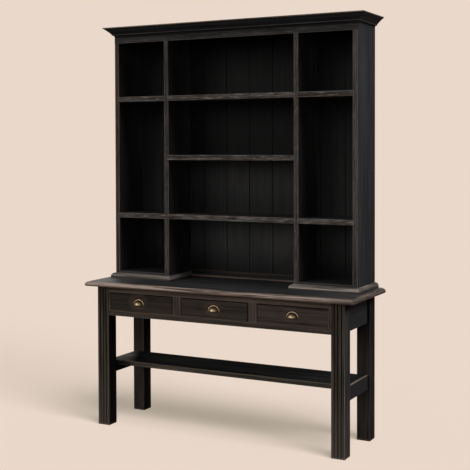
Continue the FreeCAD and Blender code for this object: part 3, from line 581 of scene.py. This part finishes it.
# bottom and top of each bay, and how pale its back boards are at the bottom and at the top, as
# painted light and shade
CENTRE_BAY_LIGHT = (
    (0.780, 1.160, 0.18, 1.00),
    (1.160, 1.487, 0.33, 0.82),
    (1.487, 1.810, 0.18, 0.25),
    (1.810, 2.130, 0.25, 0.17),
)
LEFT_BAY_LIGHT = (
    (0.780, 1.160, 0.12, 0.45),
    (1.160, 1.810, 0.50, 0.32),
    (1.810, 2.130, 0.33, 0.26),
)
RIGHT_BAY_LIGHT = (
    (0.780, 1.160, 0.13, 0.90),
    (1.160, 1.810, 0.54, 0.32),
    (1.810, 2.130, 0.38, 0.18),
)


def in_the_bays(paint):
    """0 at the front of the hutch, and 1 a few millimetres inside its bays."""
    return ramp(paint.y, HUTCH_FRONT + 0.0020, HUTCH_FRONT + 0.0060)


def line_bays(paint):
    """Black an upright inside the bays, deeper partly as painted shade, and paler towards their
    backs as painted light.
    """
    # deeper black inside the bays, partly the interior's own black and partly painted shade
    paint.lay(in_the_bays(paint), paint.between(*INSIDE))
    # painted light towards the backs of the bays
    paler = ramp(paint.y, 0.070, 0.215) * ramp(paint.z, 0.95, 1.65)
    paint.lay(paler, paint.between(*INSIDE_PAINTED_LIGHT))


def hutch_side(node, seed, full, thin, brown):
    """Greyish front edge, cool outer face that darkens downwards, and black inside."""
    paint = Paint(node, Z, seed, full, thin)
    paint.scuff(0.45, (0.120, 0.106, 0.098))
    line_bays(paint)
    low_down = paint.between((0.0120, 0.0120, 0.0134), (0.028, 0.028, 0.031))
    high_up = paint.between((0.022, 0.023, 0.0255), (0.050, 0.052, 0.057))
    outer = ramp(abs(paint.x), HUTCH_SIDE - 0.0016, HUTCH_SIDE - 0.0004)
    paint.lay(outer, paint.colour(ramp(paint.z, 0.95, 2.00), low_down, high_up))
    to_front = ramp(paint.y, 0.110, 0.020) * outer
    paint.lay(to_front * 0.40, paint.between((0.030, 0.0305, 0.0330), (0.058, 0.0590, 0.0630)))
    paint.rub_arrises(0.0036, 0.55, (brown, WOOD[1]))
    return paint.close()


def divider(node, seed):
    """Greyish front edge, and black inside the bays."""
    paint = Paint(node, Z, seed, (0.023, 0.0205, 0.0195), (0.061, 0.054, 0.050))
    paint.scuff(0.60, (0.130, 0.112, 0.104))
    line_bays(paint)
    paint.rub_arrises(0.0030, 0.50)
    return paint.close()


def hutch_shelf(node, seed):
    """Front edge rubbed light along the grain, and black behind it."""
    paint = Paint(node, X, seed, (0.027, 0.0250, 0.0235), (0.079, 0.073, 0.069))
    paint.scuff(0.85, (0.175, 0.152, 0.146))
    # deeper black inside the bays, partly the interior's own black and partly painted shade
    paint.lay(in_the_bays(paint), paint.between(*INSIDE))
    paint.rub_arrises(0.0030, 0.45)
    return paint.close()


def hutch_floor(node, seed):
    """Dark, with a light line along the arris of its front edge."""
    paint = Paint(node, X, seed, (0.014, 0.013, 0.013), (0.040, 0.037, 0.036))
    # darker inside the bays, partly the interior's own black and partly painted shade
    paint.lay(in_the_bays(paint), paint.between((0.009, 0.009, 0.010), (0.022, 0.022, 0.023)))
    paint.rub_arrises(0.0036, 0.28, ((0.095, 0.082, 0.074), (0.150, 0.136, 0.126)))
    return paint.close()


def frieze(node, seed):
    """Greyish, with painted shade up under the cornice and a painted shadow line just below it,
    and a light line along its lower arris.
    """
    paint = Paint(node, X, seed, (0.015, 0.0145, 0.0148), (0.046, 0.042, 0.042))
    paint.scuff(0.40, (0.080, 0.072, 0.070))
    up = paint.z - CORNICE_FOOT
    # painted shade under the cornice
    paint.lay(ramp(up, -0.026, -0.004) * 0.48, (0.0060, 0.0056, 0.0056))
    from_arris = abs(paint.z - paint.low.z) + in_the_bays(paint) * 0.01
    paint.rub(from_arris, 0.0050, 0.16, ((0.100, 0.084, 0.074), (0.150, 0.132, 0.118)))
    # painted shadow: a dark line just under the cornice
    paint.lay(ramp(up, -0.0065, -0.0035) * 0.9, (0.0045, 0.0045, 0.0045))
    return paint.close()


def cornice(node, seed, grain, full, thin, bead):
    """Dark face, with painted shade in its lower cove and its quirk, thin light lines on its top
    fillet and its small bead, and dust on top.
    """
    paint = Paint(node, grain, seed, full, thin)
    up = paint.z - CORNICE_FOOT
    out = highest([abs(paint.x) - HUTCH_SIDE, HUTCH_FRONT - paint.y])
    upper_cove = band(up, 0.0300, 0.0400, 0.003)
    paint.lay(upper_cove * 0.45, (0.034, 0.034, 0.038))
    # painted shade in the lower cove under the bead
    foot = ramp(up, 0.0082, 0.0070)
    paint.lay(foot, paint.between((0.0060, 0.0058, 0.0058), (0.0120, 0.0112, 0.0112)))
    paint.lay(band(up, 0.0082, 0.0125, 0.0008), paint.between(*bead))
    # painted shade in the quirk above the bead
    quirk = band(up, 0.0128, 0.0145, 0.0005)
    paint.lay(quirk, (0.005, 0.005, 0.005))
    dusty_top = ramp(up, 0.0488, 0.0496)
    paint.lay(dusty_top, paint.between((0.0085, 0.0078, 0.0070), (0.030, 0.027, 0.024)))
    fillet = ramp(up, 0.0425, 0.0448) * ramp(out, 0.0440, 0.0465)
    paint.lay(fillet, paint.between((0.060, 0.051, 0.042), (0.180, 0.152, 0.124)))
    return paint.close()


def base_moulding(node, seed, light):
    """Its round is worn to a pinkish grey, with streaks across the returns, over a foot laid dark
    as painted shade where it meets the table top.
    """
    paint = Paint(node, X, seed, (0.020, 0.018, 0.017), (0.050, 0.045, 0.042))
    front_run = ramp(paint.y, HUTCH_FRONT + 0.001, HUTCH_FRONT - 0.001)
    run_wear = paint.noise(grained(X, 3.0, 80.0), (seed, 1.0, 3.0), 4.0)
    return_wear = paint.noise(grained(Y, 7.0, 110.0), (seed, 5.0, 2.0), 3.0)
    bare = ramp(return_wear + front_run * (run_wear - return_wear), 0.38, 0.60)
    up = paint.z - paint.low.z
    round_part = ramp(up + (paint.streaks - 0.5) * 0.004, 0.0070, 0.0095)
    paint.lay(round_part, paint.colour(bare, (0.048, 0.041, 0.037), light))
    outer_return = ramp(abs(paint.x), HUTCH_SIDE + 0.007, HUTCH_SIDE + 0.017)
    paint.lay(outer_return * 0.50, (0.026, 0.0235, 0.0225))
    # painted shade at the foot, against the table top
    foot = ramp(up, 0.0025, 0.0005)
    paint.lay(foot * 0.8, (0.006, 0.006, 0.006))
    return paint.close(0.10)


def back_moulding(node, seed):
    """Dark, with one light line along its foot, where it meets the table top, and painted shade at
    the very foot.
    """
    paint = Paint(node, X, seed, (0.0060, 0.0056, 0.0056), (0.0180, 0.0165, 0.0158))
    up = paint.z - paint.low.z
    line = band(up, 0.0045, 0.0125, 0.002)
    paint.lay(line * 0.75, paint.between((0.048, 0.038, 0.032), (0.110, 0.090, 0.078)))
    # painted shade at the very foot, against the table top
    paint.lay(ramp(up, 0.0030, 0.0020), (0.0050, 0.0045, 0.0042))
    return paint.close()


def painted_bay_light(paint, bays):
    """How pale the back boards are in a column of bays, as painted light and shade."""
    total = 0.0
    for bottom, top, low, high in bays:
        level = ramp(paint.z, bottom, top) * (high - low) + low
        total = level * band(paint.z, bottom, top, 0.003) + total
    return total


def back_boards(node, seed):
    """Black inside the bays, with painted light and shade that differs from bay to bay, and a thin
    brown-black stain behind.
    """
    full, thin = (0.0300, 0.0300, 0.0308), (0.0444, 0.0436, 0.0436)
    paint = Paint(node, Z, seed, full, thin, "matt")
    columns = (LEFT_BAY_LIGHT, CENTRE_BAY_LIGHT, RIGHT_BAY_LIGHT)
    # painted light and shade in each column of bays
    left, centre, right = (painted_bay_light(paint, bays) for bays in columns)
    # painted shade towards the right end of the right-hand bays
    right = right * (1.0 - ramp(paint.x, 0.45, 0.70) * 0.30)
    # the columns change where a divider covers the boards
    level = centre + (left - centre) * ramp(paint.x, -0.380, -0.395)
    level = level + (right - centre) * ramp(paint.x, 0.380, 0.395)
    paint.skin = paint.colour(level, BLACK, paint.skin)

    behind = ramp(paint.y, paint.high.y - 0.0010, paint.high.y - 0.0003)
    paint.lay(behind, paint.between((0.0150, 0.0120, 0.0092), (0.034, 0.0255, 0.0190)))
    boards = (paint.x - BOARD_EDGE) / BOARD_PITCH
    off_joint = abs((boards + 0.5).math("FRACT") - 0.5) * BOARD_PITCH
    paint.lay(near(off_joint, 0.0, 0.0016) * behind, (0.0030, 0.0026, 0.0022))
    clear = ramp(paint.z, 1.58, 1.44) * 0.75 + 0.10
    in_front = near(off_joint, 0.0, 0.0030) * (1.0 - behind)
    paint.lay(in_front * clear, (0.0020, 0.0020, 0.0020))
    return paint.close()


# ---------------------------------------------------------------- bare pine and metal

# the first brass colour is a painted highlight, and the second a rim partly rubbed bright and
# partly painted highlight
BRASS_HIGHLIGHT = (0.235, 0.190, 0.125)
BRASS_RIM_WEAR_AND_HIGHLIGHT = (0.240, 0.192, 0.142)
BRASS_MOTTLE = (0.150, 0.116, 0.074)
BRASS_DULL = (0.105, 0.078, 0.046)
BRASS_DIRT = (0.034, 0.016, 0.005)
# half the width, the height and the reach outwards of the cup, as its tones are laid
TONED_HALF, TONED_HIGH, TONED_OUT = 0.025, 0.022, 0.020


def bare_pine(node, seed, grain):
    """Old unpainted pine, yellow-brown with darker late wood and grey grime."""
    finish = Finish(f"bare_{node}")
    shift = (seed * 2.3, seed * 1.7, seed * 3.1)
    rings = finish.noise(grained(grain, 1.6, 110.0), shift, 3.0)
    fibres = finish.noise(grained(grain, 14.0, 900.0), shift, 2.0)
    grime = finish.noise((6.0, 6.0, 6.0), shift, 4.0)
    early, late = (0.300, 0.185, 0.096), (0.190, 0.103, 0.048)
    wood = finish.colour(ramp(rings, 0.42, 0.60), early, late)
    wood = finish.colour(ramp(fibres, 0.45, 0.75) * 0.35, wood, (0.120, 0.066, 0.034))
    wood = finish.colour(ramp(grime, 0.48, 0.72) * 0.45, wood, (0.075, 0.054, 0.038))
    height = rings * 0.6 + fibres * 0.4
    fixed = {"Specular IOR Level": 0.15}
    return finish.surface(wood, 0.72 + grime * 0.15, height, 0.0004, **fixed)


def antique_brass(name, seed, middle, grubby):
    """Brass with a painted highlight low on the cup, its plate's rim bright, partly rubbed and
    partly painted highlight, and brown in the crease.
    """
    finish = Finish(name)
    across = (finish.x - middle) / TONED_HALF
    up = (finish.z - PULL_FOOT) / TONED_HIGH
    out = (DRAWER_FACE - PLATE_THICK - finish.y) / TONED_OUT
    round_cup = length(across, up)
    mottle = finish.noise((260.0, 260.0, 260.0), (seed, 2.0, 4.0), 4.0)
    fine = finish.noise((1500.0, 1500.0, 1500.0), (seed, 1.0, 7.0), 2.0)
    uneven = mottle - 0.5
    metal = finish.colour(ramp(mottle, 0.36, 0.62), BRASS_DULL, BRASS_MOTTLE)
    # painted highlight low and to the left on the cup
    low_left_highlight = ramp(out - up * 0.55 - across * 0.35 + uneven * 0.7, 0.15, 0.85)
    metal = finish.colour(low_left_highlight, metal, BRASS_HIGHLIGHT)
    clean = 1.0 - ramp(across, -0.10, -0.75) * grubby
    # the plate's rim laid bright, partly rubbed brass and partly painted highlight
    rim = ramp(round_cup + uneven * 0.16, 1.16, 1.24) * clean
    metal = finish.colour(rim * ramp(out, 0.10, 0.05) * 0.75, metal, BRASS_RIM_WEAR_AND_HIGHLIGHT)
    crease = ramp(abs(round_cup - 1.07) + uneven * 0.06, 0.14, 0.09) * ramp(out, 0.24, 0.12)
    metal = finish.colour(crease, metal, BRASS_DIRT)
    inside = ramp(round_cup, 0.90, 0.84) * ramp(out, 0.12, 0.06)
    metal = finish.colour(inside, metal, BRASS_DIRT)
    roughness = 0.52 - low_left_highlight * 0.06 + crease * 0.30 + uneven * 0.30
    return finish.surface(metal, roughness, mottle * 0.7 + fine * 0.3, 0.00025, Metallic=1.0)


def screw_steel(node):
    """Dull, clouded steel."""
    finish = Finish(f"dull_{node}")
    cloud = finish.noise((300.0, 300.0, 300.0), (1.0, 2.0, 3.0), 3.0)
    metal = finish.colour(ramp(cloud, 0.4, 0.6), (0.22, 0.215, 0.21), (0.34, 0.335, 0.33))
    return finish.surface(metal, 0.35 + cloud * 0.25, cloud, 0.0001, Metallic=1.0)


# ---------------------------------------------------------------- the cup pulls

SHARP = 1.0  # radians
UP = (0.0, 0.0, 1.0)


def settle(shape, name, body, nodes, material):
    """Turn a finished bmesh into a piece that rides on a body in place of some nodes."""
    mesh = bpy.data.meshes.new(name)
    shape.to_mesh(mesh)
    shape.free()
    for face in mesh.polygons:
        face.use_smooth = True
    mesh.materials.append(material)
    piece = bpy.data.objects.new(name, mesh)
    bpy.context.scene.collection.objects.link(piece)
    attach(piece, body)
    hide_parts(*nodes)


def take_in(shape, other):
    """Add a finished bmesh to another."""
    mesh = bpy.data.meshes.new("part")
    other.to_mesh(mesh)
    other.free()
    shape.from_mesh(mesh)
    bpy.data.meshes.remove(mesh)


def cut(shape, place, towards, **choices):
    """Cut a shape along a plane."""
    geometry = [*shape.verts, *shape.edges, *shape.faces]
    bmesh.ops.bisect_plane(shape, geom=geometry, plane_co=place, plane_no=towards, **choices)


def extrude(shape, faces):
    """Extrude some faces, and return the vertices of the new ones."""
    made = bmesh.ops.extrude_face_region(shape, geom=faces)
    return [part for part in made["geom"] if isinstance(part, bmesh.types.BMVert)]


def round_over(shape, size, chosen):
    """Round the sharp edges with both ends at chosen places."""
    edges = [edge for edge in shape.edges
             if edge.calc_face_angle(0.0) > SHARP and all(chosen(end.co) for end in edge.verts)]
    bmesh.ops.bevel(shape, geom=edges, offset=size, offset_type="OFFSET", segments=4,
                    profile=0.5, affect="EDGES", material=-1)


def turn_outwards(shape):
    """Point all faces outwards."""
    bmesh.ops.recalc_face_normals(shape, faces=shape.faces[:])


def standing_oval(shape, middle, half, high):
    """An oval of edges that stands on the drawer's face, centred on the pull's foot."""
    place = Matrix.Translation((middle, DRAWER_FACE, PULL_FOOT))
    stand = Matrix.Rotation(math.radians(90.0), 4, "X")
    size = Matrix.Diagonal((half, high, 1.0, 1.0))
    bmesh.ops.create_circle(shape, segments=96, radius=1.0, matrix=place @ stand @ size)


def pull_plate(middle):
    """The plate of a pull: a flat arch with a rounded rim."""
    shape = bmesh.new()
    standing_oval(shape, middle, PLATE_HALF, PLATE_HIGH)
    standing_oval(shape, middle, CUP_HALF - CUP_WALL, CUP_HIGH - CUP_WALL)
    bmesh.ops.bridge_loops(shape, edges=shape.edges[:])
    cut(shape, (0.0, 0.0, PULL_FOOT), UP, clear_inner=True)
    front = extrude(shape, shape.faces[:])
    bmesh.ops.translate(shape, vec=(0.0, -PLATE_THICK, 0.0), verts=front)
    turn_outwards(shape)
    half_way = DRAWER_FACE - PLATE_THICK / 2
    round_over(shape, PLATE_ROUND, lambda place: place.y < half_way)
    return shape


def pull_cup(middle):
    """The cup of a pull: an arch turned a quarter round its foot, with a wall and a lip."""
    shape = bmesh.new()
    standing_oval(shape, middle, CUP_HALF, CUP_HIGH)
    cut(shape, (0.0, 0.0, PULL_FOOT), UP, clear_inner=True)
    bmesh.ops.spin(shape, geom=[*shape.verts, *shape.edges],
                   cent=(middle, DRAWER_FACE, PULL_FOOT), axis=(1.0, 0.0, 0.0),
                   angle=math.radians(90.0), steps=24)
    bmesh.ops.remove_doubles(shape, verts=shape.verts[:], dist=0.00002)
    turn_outwards(shape)
    top_face = max(shape.faces, key=lambda face: face.calc_center_median().z)
    if top_face.normal.z < 0.0:
        bmesh.ops.reverse_faces(shape, faces=shape.faces[:])
    bmesh.ops.solidify(shape, geom=shape.faces[:], thickness=CUP_WALL)
    turn_outwards(shape)
    round_over(shape, LIP_ROUND, lambda place: place.z < PULL_FOOT + 0.0005)
    return shape


def screw(place, turn):
    """A domed head with a slot, turned about its own axis, and its shank behind it."""
    half_slot, slot_floor, flattened = 0.00038, 0.0011, 0.68
    shape = bmesh.new()
    bmesh.ops.create_uvsphere(shape, u_segments=32, v_segments=16, radius=SCREW_RADIUS)
    cut(shape, (0.0, 0.0, 0.0), UP, clear_inner=True)
    bmesh.ops.scale(shape, vec=(1.0, 1.0, flattened), verts=shape.verts[:])
    for side in (-1.0, 1.0):
        cut(shape, (side * half_slot, 0.0, 0.0), (1.0, 0.0, 0.0))
    in_slot = [face for face in shape.faces if abs(face.calc_center_median().x) < half_slot]
    for vertex in extrude(shape, in_slot):
        vertex.co.z = min(vertex.co.z, slot_floor)
    bmesh.ops.create_cone(shape, cap_ends=True, segments=20, radius1=SHANK_RADIUS,
                          radius2=SHANK_RADIUS, depth=SHANK_LENGTH,
                          matrix=Matrix.Translation((0.0, 0.0, -SHANK_LENGTH / 2)))
    turn_outwards(shape)
    face_out = Matrix.Translation(place) @ Matrix.Rotation(math.radians(90.0), 4, "X")
    about_axis = Matrix.Rotation(turn, 4, "Z")
    bmesh.ops.transform(shape, matrix=face_out @ about_axis, verts=shape.verts[:])
    return shape


def add_pull(hand, grubby):
    """A pull, of a plate and a cup, and its two screws."""
    middle, drawer = PULLS[hand], f"drawer_{hand}"
    brass = antique_brass(f"antique_brass_{hand}", len(hand) * 1.7, middle, grubby)
    pull = pull_plate(middle)
    take_in(pull, pull_cup(middle))
    settle(pull, f"cup_pull_{hand}", drawer, [f"{drawer}_pull"], brass)
    screws = bmesh.new()
    for side in (-1, 1):
        place = (middle + side * SCREW_OUT, DRAWER_FACE - PLATE_THICK, PULL_FOOT + SCREW_UP)
        take_in(screws, screw(place, 0.9 + side * 0.7 + len(hand)))
    settle(screws, f"pull_screws_{hand}", drawer, [f"{drawer}_pull_screws"], brass)


# ---------------------------------------------------------------- dressing every board

# for each drawer: the brown round its pull, the dirt on its pull, and its paint where it is thin
DRAWERS = (
    ("left", 0.65, 0.85, (0.034, 0.0265, 0.0215)),
    ("middle", 0.45, 0.0, (0.038, 0.0305, 0.0250)),
    ("right", 0.25, 0.2, (0.050, 0.0385, 0.0335)),
)
# how much painted shade darkens each back leg high up
BACK_LEG_UPPER_SHADE = {"left": 0.35, "right": 0.0}
BARE_ROUND = {"left": (0.165, 0.142, 0.127), "right": (0.230, 0.196, 0.174)}
SIDE_CORNICE = ((0.0250, 0.0252, 0.0250), (0.0640, 0.0645, 0.0640),
                ((0.045, 0.0440, 0.0430), (0.120, 0.1170, 0.1140)))
FRONT_CORNICE = ((0.0050, 0.0050, 0.0056), (0.0165, 0.0165, 0.0185),
                 ((0.022, 0.0210, 0.0200), (0.062, 0.0590, 0.0560)))
BEHIND = ((0.006, 0.0055, 0.0050), (0.020, 0.0175, 0.0155))

dress("table_top", table_top, 1)
dress("front_rail_upper", front_frame, 2, X, (0.024, 0.0190, 0.0160), (0.082, 0.061, 0.049))
dress("front_rail_lower", front_frame, 3, X, (0.020, 0.0165, 0.0140), (0.062, 0.047, 0.038))
dress("front_stiles", front_frame, 4, Z, (0.025, 0.0205, 0.0180), (0.080, 0.062, 0.052))
for seed, (hand, brown, dirt, thin) in enumerate(DRAWERS):
    dress(f"drawer_{hand}_front", drawer_front, 5 + seed, PULLS[hand], brown, thin)
    for part, grain in (("sides", Y), ("back", X), ("bottom", X)):
        dress(f"drawer_{hand}_{part}", bare_pine, 50 + seed + grain, grain)
    add_pull(hand, dirt)
for seed, hand in enumerate(("left", "right")):
    dress(f"leg_front_{hand}", front_leg, 8 + seed)
    dress(f"leg_back_{hand}", back_leg, 10 + seed, BACK_LEG_UPPER_SHADE[hand])
    dress(f"apron_{hand}", side_rail, 12 + seed)
    dress(f"stretcher_{hand}", side_rail, 14 + seed)
    dress(f"divider_{hand}", divider, 16 + seed)
    dress(f"floor_{hand}", hutch_floor, 18 + seed)
    dress(f"base_moulding_{hand}", base_moulding, 20 + seed, BARE_ROUND[hand])
    dress(f"cornice_{hand}", cornice, 22 + seed, Y, *SIDE_CORNICE)
    for level in ("lower", "upper"):
        dress(f"shelf_{hand}_{level}", hutch_shelf, 29 + seed)
for seed, level in enumerate(("lower", "middle", "upper")):
    dress(f"shelf_centre_{level}", hutch_shelf, 34 + seed)
dress("hutch_side_left", hutch_side, 38,
      (0.022, 0.0175, 0.0132), (0.062, 0.048, 0.036), (0.130, 0.080, 0.050))
dress("hutch_side_right", hutch_side, 39,
      (0.022, 0.0205, 0.0200), (0.072, 0.067, 0.065), (0.088, 0.080, 0.074))
dress("lower_shelf", lower_shelf, 40)
dress("apron_back", thin_paint, 41, (0.012, 0.0105, 0.0090), (0.034, 0.027, 0.021), 0.0040, 0.60)
dress("frieze", frieze, 42)
dress("cornice_front", cornice, 43, X, *FRONT_CORNICE)
dress("back_boards", back_boards, 44)
dress("base_moulding_back", back_moulding, 45)
dress("back_rail", thin_paint, 46, *BEHIND, 0.0035, 0.15)
dress("hutch_top", thin_paint, 47, *BEHIND, 0.0035, 0.50)
for seed, node in enumerate(("drawer_runners", "drawer_kickers", "drawer_stops")):
    dress(node, bare_pine, 60 + seed, Y)
dress("hutch_screws", screw_steel)
